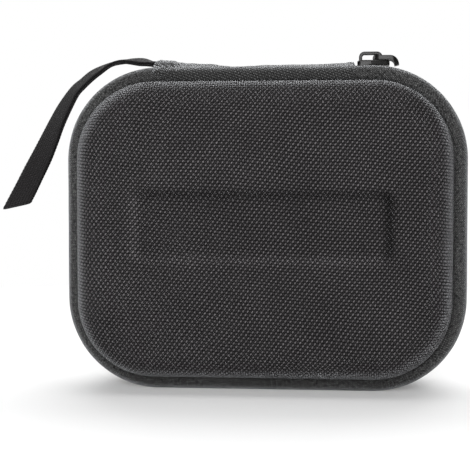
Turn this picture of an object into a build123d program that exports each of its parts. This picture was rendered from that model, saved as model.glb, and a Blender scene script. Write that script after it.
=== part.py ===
from build123d import *
from math import cos, degrees, pi, radians, sin, sqrt, tan
import os

# Zip case for a small portable speaker: two moulded half shells, closed by a zip that runs
# round the edge and joined by a fabric hinge on top. Millimetres. The case stands on its long
# edge: X runs along the front, Y points to the back, Z is up and the zip lies in the plane Y = 0.
# The front half is drawn first, towards -Y, and the rear half is its mirror image.

# Case
case_width = 136.0
case_height = 110.0
case_depth = 56.0
corner_radius = 31.5

# Moulded shell
shell_inset = 4.8
shell_draft = 4.0
shell_edge_radius = 10.0
shell_thickness = 4.0
lining_thickness = 0.5

# Debossed bare panel on the front
panel_width = 86.0
panel_height = 23.5
panel_depth = 0.9
panel_slope_width = 2.7
panel_corner_radius = 3.0
panel_rise = 1.2
panel_side_offset = -1.0

# Rolled rim band over the flange
channel_width = 11.2
band_thickness = 0.7
roll_width = 4.8
roll_radius = 3.2
flange_inset = 1.6
flange_thickness = 2.6

# Binding over the raw edge inside the rim
binding_thickness = 0.5
binding_width = 6.0
binding_gap = 0.2

# Fabric hinge on top
hinge_length = 60.5
hinge_bulge = 1.3
backing_overlap = 2.4

# Coil zip
tape_thickness = 0.6
tape_gap = 1.8
coil_depth = 0.15
coil_height = 1.8
tooth_pitch = 3.2
tooth_base = 1.8
tooth_height = 1.4
tooth_overlap = 0.8
tooth_root = 0.2
coil_core_width = 0.8
coil_core_start = 1.9

# Zip slider, drawn with X along the zip and Z outwards from the rim
slider_length = 10.9
slider_width = 8.8
slider_tail_width = 6.6
slider_plate_bottom = 0.6
slider_plate_thickness = 1.6
slider_lower_thickness = 1.0
slider_running_gap = 0.7
slider_corner_radius = 1.2
slider_edge_chamfer = 0.45
slider_mouth_length = 4.6
slider_stand_off = 0.8
rail_width = 0.9
rail_shortening = 1.2
post_length = 1.8
post_width = 1.5
post_clearance = 0.3

# Bridge on the slider, and the ring pull on the bridge
bridge_start = -4.9
bridge_end = 3.1
bridge_height = 3.1
bridge_thickness = 1.1
bridge_width = 2.6
bridge_corner_radius = 1.9
ring_bar_place = 0.5
ring_thickness = 1.5
ring_straight = 4.95
ring_bend_radius = 2.5
ring_bend_angle = 80.0
ring_tip_length = 0.5
ring_outer_width = 6.4
ring_side_width = 1.45
ring_clearance = 0.2

# Wrist strap: two plies of webbing, sewn into the left end of the hinge
strap_width = 10.0
strap_thickness = 2.2
strap_lift = 0.15
strap_corner_reach = 14.0
strap_flat_length = 8.25
strap_arch_rise = 0.75
strap_joint_gap = 0.6
stitching_length = 6.0
stitching_width = 8.0
stitching_band = 0.8
stitching_height = 0.25
stitching_place = 4.2

# Mesh pocket inside the front half
net_depth = 16.5
net_thickness = 0.6
net_top = 64.0
net_hole = 4.4
net_pitch_across = 9.6
net_pitch_up = 7.4
net_border = 4.0
net_clearance = 0.3
elastic_width = 6.0
elastic_thickness = 1.6
elastic_fold = 0.8

# Worked out from the sizes above
half_depth = case_depth / 2
half_channel = channel_width / 2
rim_depth = half_channel + band_thickness
roll_back = half_channel + roll_width
wall_thickness = shell_thickness + lining_thickness
tape_depth = coil_depth + coil_height
straight_half = case_width / 2 - corner_radius
side_length = case_height - 2 * corner_radius
quarter_turn = pi * corner_radius / 2
hinge_half = hinge_length / 2
reach = 2 * case_width


def outline(inset, depth):
    """The case's rounded outline, drawn in by inset, at a depth in front of the zip's plane."""
    shape = RectangleRounded(
        case_width - 2 * inset, case_height - 2 * inset, corner_radius - inset
    )
    return Plane.XZ.offset(depth) * Pos(0, case_height / 2) * shape


def slab(near, far):
    """Everything between two depths in front of the zip's plane."""
    middle = -(near + far) / 2
    return Pos(0, middle, case_height / 2) * Box(reach, far - near, reach)


def hinge_zone():
    """The stretch of the top edge that the fabric hinge takes up."""
    return Pos(0, 0, case_height) * Box(hinge_length, reach, 2 * shell_inset)


def ring(outer_inset, inner_inset, near, far):
    """A flat-sided ring that follows the outline."""
    return extrude(outline(outer_inset, near), far - near) - extrude(outline(inner_inset, near), far - near)


def shell_block(skin):
    """The moulded half as a solid block with a sharp front edge."""
    return extrude(
        outline(shell_inset + skin, rim_depth), half_depth - skin - rim_depth, taper=shell_draft
    )


def shell_form():
    """The moulded half's outside as a solid block, round at its front edge."""
    block = shell_block(0)
    return fillet(block.faces().sort_by(Axis.Y)[0].edges(), shell_edge_radius)


def inner_form(skin):
    """A surface inside the moulded half, flattened at its front edge to keep the skin even."""
    block = shell_block(skin)
    flat = (2 - sqrt(2)) * (shell_edge_radius - skin)
    return chamfer(block.faces().sort_by(Axis.Y)[0].edges(), flat)


def panel_pocket():
    """The debossed panel's hollow, with soft sloping sides."""
    place = Pos(panel_side_offset, case_height / 2 + panel_rise)
    slope = 2 * panel_slope_width
    mouth = RectangleRounded(panel_width, panel_height, panel_corner_radius + panel_slope_width)
    bed = RectangleRounded(panel_width - slope, panel_height - slope, panel_corner_radius)
    mouth_plane = Plane.XZ.offset(half_depth)
    bed_plane = Plane.XZ.offset(half_depth - panel_depth)
    return loft([bed_plane * place * bed, mouth_plane * place * mouth], ruled=True)


def roll_form():
    """The rolled rim as a solid ring, round on the side that shows from the front."""
    block = extrude(outline(0, half_channel), roll_width)
    return fillet(block.faces().sort_by(Axis.Y)[0].edges(), roll_radius)


def make_shell(panel):
    """Moulded foam half with its woven face, and the flange that the zip is sewn to."""
    outside = shell_form()
    if panel:
        outside -= panel_pocket()
    flange = extrude(outline(flange_inset, rim_depth), flange_thickness)
    return outside + flange - inner_form(shell_thickness)


def make_lining():
    """Thin lining bonded inside the moulded half."""
    return inner_form(shell_thickness) - inner_form(wall_thickness)


def make_rim_band():
    """Fabric band rolled over the flange and left out at the hinge."""
    flange = extrude(outline(flange_inset, rim_depth), flange_thickness)
    under_flange = extrude(outline(shell_inset, half_channel), band_thickness)
    return roll_form() - flange - under_flange - shell_form() - hinge_zone()


def make_inner_binding():
    """Tape over the raw edge: a fold across the rim's end and a strip along the lining."""
    strip = inner_form(wall_thickness) - inner_form(wall_thickness + binding_thickness)
    strip = strip & slab(rim_depth, rim_depth + binding_width)
    fold = ring(
        shell_inset + binding_gap,
        shell_inset + wall_thickness + binding_thickness,
        rim_depth - binding_thickness,
        rim_depth,
    )
    return strip + fold


def make_zip_tape():
    """Flat tape from the rim band to the coil."""
    return ring(tape_depth, tape_depth + tape_thickness, tape_gap / 2, half_channel) - hinge_zone()


def rim_place(distance, inset=0.0):
    """Place on the outline, counted clockwise from the middle of the top, seen from the front.

    Local X runs along the outline and local Z points outwards.
    """
    radius = corner_radius - inset
    left, right = -straight_half, straight_half
    low, high = corner_radius, case_height - corner_radius
    turn = 0.0
    corners = [(right, high), (right, low), (left, low), (left, high)]
    runs = [straight_half, side_length, 2 * straight_half, side_length, straight_half]
    start = (0.0, high)
    for number, run in enumerate(runs):
        heading = radians(turn)
        if distance <= run or number == len(runs) - 1:
            x = start[0] + distance * cos(heading) + radius * sin(heading)
            z = start[1] - distance * sin(heading) + radius * cos(heading)
            return Pos(x, 0, z) * Rot(0, turn, 0)
        distance -= run
        if distance <= quarter_turn:
            turn += degrees(distance / corner_radius)
            x = corners[number][0] + radius * sin(radians(turn))
            z = corners[number][1] + radius * cos(radians(turn))
            return Pos(x, 0, z) * Rot(0, turn, 0)
        distance -= quarter_turn
        turn += 90.0
        start = corners[number]


def make_zip_coil(first_tooth):
    """One row of the zip: a core along the tape's edge and the teeth that cross the middle."""
    core = ring(coil_depth, tape_depth, coil_core_start, coil_core_start + coil_core_width)
    core -= hinge_zone()
    perimeter = 2 * side_length + 4 * straight_half + 4 * quarter_turn
    base = -coil_core_start - tooth_root
    plan = Polygon(
        (-tooth_base / 2, base), (tooth_base / 2, base), (0, tooth_overlap), align=None
    )
    tooth = extrude(plan, tooth_height / 2, both=True)
    teeth = []
    distance = hinge_half + first_tooth
    while distance < perimeter - hinge_half - tooth_base / 2:
        from_post = distance - slider_distance - slider_post_place
        if abs(from_post) > post_length / 2 + tooth_base / 2 + post_clearance:
            teeth.append(rim_place(distance, coil_depth + coil_height / 2) * tooth)
        distance += tooth_pitch
    return core.fuse(*teeth)


def make_hinge_panel():
    """Fabric panel over both rolls on top, bulging a little between them."""
    outer_y, inner_y = roll_back, roll_back - band_thickness
    flat_y = roll_back - roll_radius
    outer_top, inner_top = case_height, case_height - band_thickness
    shoulder = case_height - roll_radius
    foot = case_height - shell_inset
    crest = case_height + hinge_bulge
    inner_radius = roll_radius - band_thickness
    with BuildSketch(Plane.YZ.offset(-hinge_half)) as section:
        with BuildLine():
            Line((-outer_y, foot), (-outer_y, shoulder))
            RadiusArc((-outer_y, shoulder), (-flat_y, outer_top), roll_radius)
            ThreePointArc((-flat_y, outer_top), (0, crest), (flat_y, outer_top))
            RadiusArc((flat_y, outer_top), (outer_y, shoulder), roll_radius)
            Line((outer_y, shoulder), (outer_y, foot))
            Line((outer_y, foot), (inner_y, foot))
            Line((inner_y, foot), (inner_y, shoulder))
            RadiusArc((inner_y, shoulder), (flat_y, inner_top), -inner_radius)
            ThreePointArc((flat_y, inner_top), (0, crest - band_thickness), (-flat_y, inner_top))
            RadiusArc((-flat_y, inner_top), (-inner_y, shoulder), -inner_radius)
            Line((-inner_y, shoulder), (-inner_y, foot))
            Line((-inner_y, foot), (-outer_y, foot))
        make_face()
    return extrude(section.sketch, hinge_length)


def make_hinge_backing():
    """Strip of webbing under the hinge panel, seated on both flanges."""
    edge = rim_depth + backing_overlap
    seat = case_height - flange_inset
    top = case_height - band_thickness
    crest = top + hinge_bulge
    flat_y = roll_back - roll_radius
    inner_radius = roll_radius - band_thickness
    edge_top = case_height - roll_radius + sqrt(inner_radius**2 - (edge - flat_y) ** 2)
    with BuildSketch(Plane.YZ.offset(-hinge_half)) as section:
        with BuildLine():
            Line((-edge, seat), (-edge, edge_top))
            RadiusArc((-edge, edge_top), (-flat_y, top), inner_radius)
            ThreePointArc((-flat_y, top), (0, crest), (flat_y, top))
            RadiusArc((flat_y, top), (edge, edge_top), inner_radius)
            Line((edge, edge_top), (edge, seat))
            Line((edge, seat), (flat_y, seat))
            ThreePointArc((flat_y, seat), (0, seat + hinge_bulge), (-flat_y, seat))
            Line((-flat_y, seat), (-edge, seat))
        make_face()
    return extrude(section.sketch, hinge_length)


# The slider stands beside the hinge, where the top's straight run meets the corner
slider_distance = hinge_half + slider_stand_off + slider_length / 2
slider_place = rim_place(slider_distance)
slider_post_place = -slider_length / 2 + post_length
plate_top = slider_plate_bottom + slider_plate_thickness
lower_top = -(tape_depth + tape_thickness + slider_running_gap)
ring_axis_height = plate_top + ring_clearance + ring_thickness / 2


def slider_plan(width, tail_width, thickness, bottom):
    """Plate of the slider: wide where the rows part, narrow at its tail, with round ends."""
    nose, tail = -slider_length / 2, slider_length / 2
    waist = nose + slider_mouth_length
    corners = [
        (nose, -width / 2), (waist, -width / 2), (tail, -tail_width / 2),
        (tail, tail_width / 2), (waist, width / 2), (nose, width / 2),
    ]
    with BuildSketch(Plane.XY.offset(bottom)) as plan:
        Polygon(*corners, align=None)
        fillet(plan.vertices(), slider_corner_radius)
    return extrude(plan.sketch, thickness)


def make_slider_body():
    """Cast body: two plates held apart by the post, with rails that guide the rows."""
    upper = slider_plan(slider_width, slider_tail_width, slider_plate_thickness, slider_plate_bottom)
    upper = chamfer(upper.faces().sort_by(Axis.Z)[-1].edges(), slider_edge_chamfer)
    lower_bottom = lower_top - slider_lower_thickness
    lower = slider_plan(slider_width, slider_tail_width, slider_lower_thickness, lower_bottom)
    post_height = slider_plate_bottom - lower_top
    post_middle = (slider_plate_bottom + lower_top) / 2
    body = upper + lower + Pos(slider_post_place, 0, post_middle) * Box(post_length, post_width, post_height)
    rail_length = slider_mouth_length - rail_shortening
    rail_bottom = slider_running_gap - tape_depth
    rail_height = slider_plate_bottom - rail_bottom
    for side in (-1, 1):
        y = side * (slider_width - rail_width) / 2
        rail_place = Pos((slider_mouth_length - slider_length) / 2, y, rail_bottom + rail_height / 2)
        body += rail_place * Box(rail_length, rail_width, rail_height)
    return body


def make_slider_bridge():
    """Arched bridge on the upper plate, with the window that the ring passes through."""
    length = bridge_end - bridge_start
    middle = (bridge_start + bridge_end) / 2
    outer = Pos(middle, 0, plate_top + bridge_height / 2) * Box(length, bridge_width, bridge_height)
    outer = fillet(outer.faces().sort_by(Axis.Z)[-1].edges().filter_by(Axis.Y), bridge_corner_radius)
    inner_height = bridge_height - bridge_thickness
    window = Pos(middle, 0, plate_top + inner_height / 2) * Box(
        length - 2 * bridge_thickness, 2 * bridge_width, inner_height
    )
    top_edges = window.faces().sort_by(Axis.Z)[-1].edges().filter_by(Axis.Y)
    window = fillet(top_edges, bridge_corner_radius - bridge_thickness)
    return outer - window


def make_pull_ring():
    """Ring pull: a flat loop round the bridge's foot, with its far end bent down over the tail."""
    half = ring_thickness / 2
    turn = radians(ring_bend_angle)
    bend_x = ring_straight + ring_bend_radius * sin(turn)
    bend_z = -ring_bend_radius * (1 - cos(turn))
    tip_x = bend_x + ring_tip_length * cos(turn)
    tip_z = bend_z - ring_tip_length * sin(turn)
    out_x, out_z = half * sin(turn), half * cos(turn)
    with BuildSketch(Plane.XZ) as profile:
        with BuildLine():
            Line((0, -half), (0, half))
            Line((0, half), (ring_straight, half))
            RadiusArc((ring_straight, half), (bend_x + out_x, bend_z + out_z), ring_bend_radius + half)
            Line((bend_x + out_x, bend_z + out_z), (tip_x + out_x, tip_z + out_z))
            Line((tip_x + out_x, tip_z + out_z), (tip_x - out_x, tip_z - out_z))
            Line((tip_x - out_x, tip_z - out_z), (bend_x - out_x, bend_z - out_z))
            RadiusArc((bend_x - out_x, bend_z - out_z), (ring_straight, -half), -(ring_bend_radius - half))
            Line((ring_straight, -half), (0, -half))
        make_face()
    strip = extrude(profile.sketch, ring_outer_width / 2, both=True)
    reach_x = tip_x + out_x
    length = half + reach_x
    middle = (reach_x - half) / 2
    corner = ring_outer_width / 2 - ring_side_width / 2
    plan = Pos(middle, 0) * RectangleRounded(length, ring_outer_width, corner)
    hole_width = ring_outer_width - 2 * ring_side_width
    hole_end = reach_x - ring_thickness
    hole = Pos(hole_end / 2, 0) * Rectangle(hole_end, hole_width)
    loop = strip & extrude(Plane.XY.offset(-reach / 2) * (plan - hole), reach)
    bar = Rot(90, 0, 0) * Cylinder(half, ring_outer_width - ring_side_width)
    return Pos(ring_bar_place, 0, ring_axis_height) * (loop + bar)


# The strap's middle line past its joint: offsets along X and Z, and the turn of its width
strap_route = [
    (-6.1, -2.1, 14.0),
    (-12.5, -7.6, 24.0),
    (-17.8, -15.4, 32.0),
    (-22.1, -24.4, 38.0),
    (-26.5, -33.6, 44.0),
    (-30.9, -42.4, 50.0),
    (-34.7, -50.6, 56.0),
]
strap_base = case_height + strap_lift
strap_joint_place = -straight_half - strap_corner_reach
strap_joint_base = strap_base + strap_arch_rise


def strap_section(index):
    """Webbing's section at one point of its route, square to the route and turned about it."""
    x, z, turn = strap_route[index]
    before = strap_route[index - 1] if index else (0.0, 0.0)
    after = strap_route[min(index + 1, len(strap_route) - 1)]
    along = Vector(after[0] - before[0], 0, after[1] - before[1]).normalized()
    flat = Vector(0, 1, 0)
    width_way = flat * cos(radians(turn)) - along.cross(flat) * sin(radians(turn))
    return Plane(origin=(x, 0, z), x_dir=width_way, z_dir=along) * Rectangle(strap_width, strap_thickness)


def make_wrist_strap():
    """The free part of the strap: it arches off the case, drops and turns its face outwards."""
    start = Plane(origin=(0, 0, 0), x_dir=(0, 1, 0), z_dir=(-1, 0, 0))
    sections = [start * Rectangle(strap_width, strap_thickness)]
    sections += [strap_section(index) for index in range(len(strap_route))]
    x = strap_joint_place - strap_joint_gap
    return Pos(x, 0, strap_joint_base + strap_thickness / 2) * loft(sections)


def make_strap_root():
    """The end of the strap that is sewn into the hinge's end, and its first rise."""
    bend = -hinge_half - strap_flat_length
    top, joint_top = strap_base + strap_thickness, strap_joint_base + strap_thickness
    level = ((-1, 0), (-1, 0))
    with BuildSketch(Plane.XZ) as profile:
        with BuildLine():
            Line((-hinge_half, strap_base), (bend, strap_base))
            Spline((bend, strap_base), (strap_joint_place, strap_joint_base), tangents=level)
            Line((strap_joint_place, strap_joint_base), (strap_joint_place, joint_top))
            Spline((bend, top), (strap_joint_place, joint_top), tangents=level)
            Line((bend, top), (-hinge_half, top))
            Line((-hinge_half, top), (-hinge_half, strap_base))
        make_face()
    return extrude(profile.sketch, strap_width / 2, both=True)


def make_strap_stitching():
    """Box of stitching that holds the strap's root down."""
    hole_length = stitching_length - 2 * stitching_band
    hole_width = stitching_width - 2 * stitching_band
    plan = Rectangle(stitching_length, stitching_width) - Rectangle(hole_length, hole_width)
    frame = extrude(plan, stitching_height)
    return Pos(-hinge_half - stitching_place, 0, strap_base + strap_thickness) * frame


def make_pocket_net():
    """Mesh pocket's net: one holed sheet across the lower part of the front half."""
    inset = shell_inset + wall_thickness + net_clearance
    inset += (net_depth + net_thickness - rim_depth) * tan(radians(shell_draft))
    sheet = extrude(outline(inset, net_depth), net_thickness)
    window = Pos(0, -net_depth, net_top / 2) * Box(reach, net_depth, net_top)
    across = case_width - 2 * (inset + net_border)
    low, high = inset + net_border, net_top + elastic_fold - elastic_width
    columns = int((across - net_hole) / net_pitch_across) // 2 * 2 + 1
    rows = int((high - low - net_hole) / net_pitch_up) + 1
    holes = []
    for row in range(rows):
        z = low + net_hole / 2 + row * net_pitch_up
        shift = net_pitch_across / 2 if row % 2 else 0
        for column in range(columns):
            x = (column - (columns - 1) / 2) * net_pitch_across + shift
            corner_x = abs(x) + net_hole / 2 - straight_half
            corner_z = corner_radius - z + net_hole / 2
            corner_limit = corner_radius - inset - net_border
            if corner_x > 0 and corner_z > 0 and sqrt(corner_x**2 + corner_z**2) > corner_limit:
                continue
            if abs(x) + net_hole / 2 > case_width / 2 - inset - net_border:
                continue
            holes.append(Pos(x, z) * Rot(0, 0, 45) * Rectangle(net_hole, net_hole))
    cutter = extrude(Plane.XZ.offset(net_depth - net_thickness) * Sketch(children=holes), 3 * net_thickness)
    return (sheet & window) - cutter


def make_pocket_elastic():
    """Elastic hem folded over the net's top edge."""
    inset = shell_inset + wall_thickness + net_clearance
    inset += (net_depth + elastic_thickness - rim_depth) * tan(radians(shell_draft))
    length = case_width - 2 * inset
    hem_top = net_top + elastic_fold
    place = Pos(0, -net_depth - net_thickness / 2, hem_top - elastic_width / 2)
    hem = place * Box(length, elastic_thickness, elastic_width)
    return hem - Pos(0, 0, -elastic_fold) * place * Box(length, net_thickness, elastic_width)


wrist_strap = make_wrist_strap()
origin_shift = -(wrist_strap.bounding_box().min.X + case_width / 2) / 2


def export(name, shape):
    """Move a finished piece into the part's own frame and write it."""
    placed = Pos(origin_shift, 0, 0) * shape
    placed.label = name
    export_step(placed, f"parts/{name}.step")


def mirrored(shape):
    """The same piece on the rear half."""
    return mirror(shape, about=Plane.XZ)


os.makedirs("parts", exist_ok=True)

export("front_shell", make_shell(True))
export("front_lining", make_lining())
export("front_rim_band", make_rim_band())
export("front_inner_binding", make_inner_binding())
export("front_zip_tape", make_zip_tape())
export("front_zip_coil", make_zip_coil(tooth_pitch))
export("pocket_net", make_pocket_net())
export("pocket_elastic", make_pocket_elastic())

export("rear_shell", mirrored(make_shell(False)))
export("rear_lining", mirrored(make_lining()))
export("rear_rim_band", mirrored(make_rim_band()))
export("rear_inner_binding", mirrored(make_inner_binding()))
export("rear_zip_tape", mirrored(make_zip_tape()))
export("rear_zip_coil", mirrored(make_zip_coil(tooth_pitch / 2)))
export("hinge_panel", make_hinge_panel())
export("hinge_backing", make_hinge_backing())

export("slider_body", slider_place * make_slider_body())
export("slider_bridge", slider_place * make_slider_bridge())
export("pull_ring", slider_place * make_pull_ring())

export("strap_root", make_strap_root())
export("strap_stitching", make_strap_stitching())
export("wrist_strap", wrist_strap)
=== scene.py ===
import math

import bmesh
import bpy
from mathutils import Matrix, Vector, noise


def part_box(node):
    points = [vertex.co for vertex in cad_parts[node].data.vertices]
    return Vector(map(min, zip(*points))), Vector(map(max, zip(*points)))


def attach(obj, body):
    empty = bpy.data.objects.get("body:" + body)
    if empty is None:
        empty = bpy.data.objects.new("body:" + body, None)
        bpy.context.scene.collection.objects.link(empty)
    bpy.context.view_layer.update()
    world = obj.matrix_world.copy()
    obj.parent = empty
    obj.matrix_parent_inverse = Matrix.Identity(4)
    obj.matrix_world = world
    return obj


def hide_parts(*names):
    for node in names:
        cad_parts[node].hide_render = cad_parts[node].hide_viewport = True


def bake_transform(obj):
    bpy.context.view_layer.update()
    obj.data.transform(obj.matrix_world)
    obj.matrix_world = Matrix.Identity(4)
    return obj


# A zip case for a small speaker, dressed over its CAD frame.
# Sizes are in millimetres in the dictionaries and turned to metres where a mesh is made.
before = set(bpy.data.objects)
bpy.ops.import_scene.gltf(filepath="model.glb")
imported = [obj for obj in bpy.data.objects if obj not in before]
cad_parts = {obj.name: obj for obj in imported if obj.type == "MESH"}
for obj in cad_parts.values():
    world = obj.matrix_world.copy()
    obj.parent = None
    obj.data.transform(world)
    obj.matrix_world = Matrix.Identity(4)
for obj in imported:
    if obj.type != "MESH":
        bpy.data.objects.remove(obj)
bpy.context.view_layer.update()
mm = 0.001

bandLow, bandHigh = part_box("front_rim_band")
case = {
    "centreX": (bandLow[0] + bandHigh[0]) / 2 / mm,
    "width": (bandHigh[0] - bandLow[0]) / mm,
    "height": (bandHigh[2] - bandLow[2]) / mm,
    "radius": 31.5,
    "halfDepth": -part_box("front_shell")[0][1] / mm,
    "hingeHalf": 30.25,
}
case["straight"] = case["width"] / 2 - case["radius"]
case["side"] = case["height"] - 2 * case["radius"]
case["quarter"] = math.pi * case["radius"] / 2
case["perimeter"] = 4 * case["straight"] + 2 * case["side"] + 4 * case["quarter"]
halves = (("front", -1), ("rear", 1))  # label and side of the zip


# Place on the case's outline, counted clockwise from the middle of the top: point and outward way
def rimPoint(distance):
    r, half, height = case["radius"], case["straight"], case["height"]
    corners = [(half, height - r), (half, r), (-half, r), (-half, height - r)]
    runs = [half, case["side"], 2 * half, case["side"], half]
    start, turn = (0.0, height - r), 0.0
    for number, run in enumerate(runs):
        if distance <= run or number == 4:
            s, c = math.sin(turn), math.cos(turn)
            return start[0] + distance * c + r * s, start[1] - distance * s + r * c, s, c
        distance -= run
        if distance <= case["quarter"]:
            turn += distance / r
            s, c = math.sin(turn), math.cos(turn)
            return corners[number][0] + r * s, corners[number][1] + r * c, s, c
        distance -= case["quarter"]
        turn += math.pi / 2
        start = corners[number]


# A point in metres, from inset and depth against the outline; side is -1 in front and 1 behind
def onRim(distance, inset, depth, side):
    x, z, outX, outZ = rimPoint(distance % case["perimeter"])
    return Vector(((case["centreX"] + x - outX * inset) * mm, side * depth * mm, (z - outZ * inset) * mm))


# A point in metres, with x counted from the case's middle in millimetres
def fromMiddle(x, y, z):
    return (case["centreX"] + x) * mm, y * mm, z * mm


def clamp(value):
    return min(max(value, 0.0), 1.0)


# How far round a closed section each of its points lies, and last the whole way round
def lengthsRound(section):
    lengths = [0.0]
    for a, b in zip(section, section[1:] + section[:1]):
        lengths.append(lengths[-1] + math.hypot(a[0] - b[0], a[1] - b[1]))
    return lengths


def linkObject(name, data):
    obj = bpy.data.objects.new(name, data)
    bpy.context.scene.collection.objects.link(obj)
    return obj


def makeObject(name, verts, faces, uvs=None):
    mesh = bpy.data.meshes.new(name)
    mesh.from_pydata([tuple(v) for v in verts], [], faces)
    if uvs:
        layer = mesh.uv_layers.new(name="cloth")
        layer.data.foreach_set("uv", [c for uv in uvs for c in uv])
    for polygon in mesh.polygons:
        polygon.use_smooth = True
    return linkObject(name, mesh)


# Points joined by edges alone, for a node tree to follow
def wireObject(name, points, edges):
    mesh = bpy.data.meshes.new(name)
    mesh.from_pydata([tuple(p) for p in points], edges, [])
    return linkObject(name, mesh)


# Merges points that lie together and turns the faces outwards
def tidyMesh(obj):
    work = bmesh.new()
    work.from_mesh(obj.data)
    bmesh.ops.remove_doubles(work, verts=work.verts, dist=0.01 * mm)
    bmesh.ops.recalc_face_normals(work, faces=work.faces)
    work.to_mesh(obj.data)
    work.free()
    return obj


# A tube over rings of points. Along holds each ring's place on the cloth and around each side's, in
# millimetres. Turned swaps the two, and the ends are closed where their places are given.
def tubeObject(name, verts, along, around, ends, turned=False):
    size = len(around) - 1
    faces, uvs = [], []
    for k in range(len(along) - 1):
        a, b = k * size, (k + 1) * size
        for j in range(size):
            n = (j + 1) % size
            faces.append((a + j, b + j, b + n, a + n))
            for p, q in ((k, j), (k + 1, j), (k + 1, j + 1), (k, j + 1)):
                uvs.append((around[q], along[p]) if turned else (along[p], around[q]))
    if ends:
        for base in (0, (len(along) - 1) * size):
            faces.append(tuple(range(base, base + size)))
            uvs += ends
    return tidyMesh(makeObject(name, verts, faces, uvs))


def ringFaces(count, sides):
    faces = []
    for a in range(0, count - sides, sides):
        for k in range(sides):
            n = (k + 1) % sides
            faces.append((a + k, a + n, a + sides + n, a + sides + k))
    return faces


# A short rod through rings of a few points each, closed at both ends
def rodObject(name, verts, sides):
    faces = ringFaces(len(verts), sides)
    for base in (0, len(verts) - sides):
        faces.append(tuple(range(base, base + sides)))
    return tidyMesh(makeObject(name, verts, faces))


def dress(obj, material, body, slot, *nodes):
    obj.data.materials.clear()
    obj.data.materials.append(material)
    if body:
        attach(obj, body)
    if nodes:
        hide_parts(*nodes)


# Materials

def socketValue(tree, socket, value):
    if isinstance(value, bpy.types.NodeSocket):
        tree.links.new(value, socket)
    else:
        socket.default_value = value


def setInputs(node, values):
    for label, value in values.items():
        node.inputs[label].default_value = value


def calc(tree, operation, *values):
    node = tree.nodes.new("ShaderNodeMath")
    node.operation = operation
    for socket, value in zip(node.inputs, values):
        socketValue(tree, socket, value)
    return node.outputs[0]


def blendColour(tree, factor, first, second):
    node = tree.nodes.new("ShaderNodeMix")
    node.data_type = "RGBA"
    tree.links.new(factor, node.inputs[0])
    node.inputs[6].default_value = (*first, 1.0)
    node.inputs[7].default_value = (*second, 1.0)
    return node.outputs[2]


def noiseOn(tree, vector, scale, detail, roughness):
    node = tree.nodes.new("ShaderNodeTexNoise")
    tree.links.new(vector, node.inputs["Vector"])
    setInputs(node, {"Scale": scale, "Detail": detail, "Roughness": roughness})
    return node.outputs[0]


def stretch(tree, value, low, high, newLow=0.0, newHigh=1.0):
    node = tree.nodes.new("ShaderNodeMapRange")
    socketValue(tree, node.inputs[0], value)
    for index, number in enumerate((low, high, newLow, newHigh)):
        node.inputs[index + 1].default_value = number
    return node.outputs[0]


def startMaterial(name, roughness, specular):
    material = bpy.data.materials.new(name)
    material.use_nodes = True
    shader = material.node_tree.nodes["Principled BSDF"]
    setInputs(shader, {"Roughness": roughness, "Specular IOR Level": specular})
    return material, material.node_tree, shader


def addBump(tree, shader, height, relief, strength=1.0):
    bump = tree.nodes.new("ShaderNodeBump")
    setInputs(bump, {"Strength": strength, "Distance": relief * mm})
    tree.links.new(height, bump.inputs["Height"])
    tree.links.new(bump.outputs[0], shader.inputs["Normal"])


# Cloth coordinates in millimetres, turned and with rows off square, wandering as a pressed cloth does
def clothCoordinates(tree, turn, wander, rowSlope=0.0):
    place = tree.nodes.new("ShaderNodeUVMap")
    place.uv_map = "cloth"
    parts = tree.nodes.new("ShaderNodeSeparateXYZ")
    tree.links.new(place.outputs[0], parts.inputs[0])
    join = tree.nodes.new("ShaderNodeCombineXYZ")
    tree.links.new(parts.outputs[0], join.inputs[0])
    tree.links.new(calc(tree, "MULTIPLY_ADD", parts.outputs[0], rowSlope, parts.outputs[1]), join.inputs[1])
    mapping = tree.nodes.new("ShaderNodeMapping")
    mapping.inputs["Rotation"].default_value = (0, 0, math.radians(turn))
    tree.links.new(join.outputs[0], mapping.inputs[0])
    soft = tree.nodes.new("ShaderNodeTexNoise")
    tree.links.new(mapping.outputs[0], soft.inputs["Vector"])
    setInputs(soft, {"Scale": 0.03, "Detail": 1.0})
    shift = tree.nodes.new("ShaderNodeVectorMath")
    shift.operation = "MULTIPLY_ADD"
    tree.links.new(soft.outputs[1], shift.inputs[0])
    shift.inputs[1].default_value = (wander, wander, 0)
    tree.links.new(mapping.outputs[0], shift.inputs[2])
    return shift.outputs[0]


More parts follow.
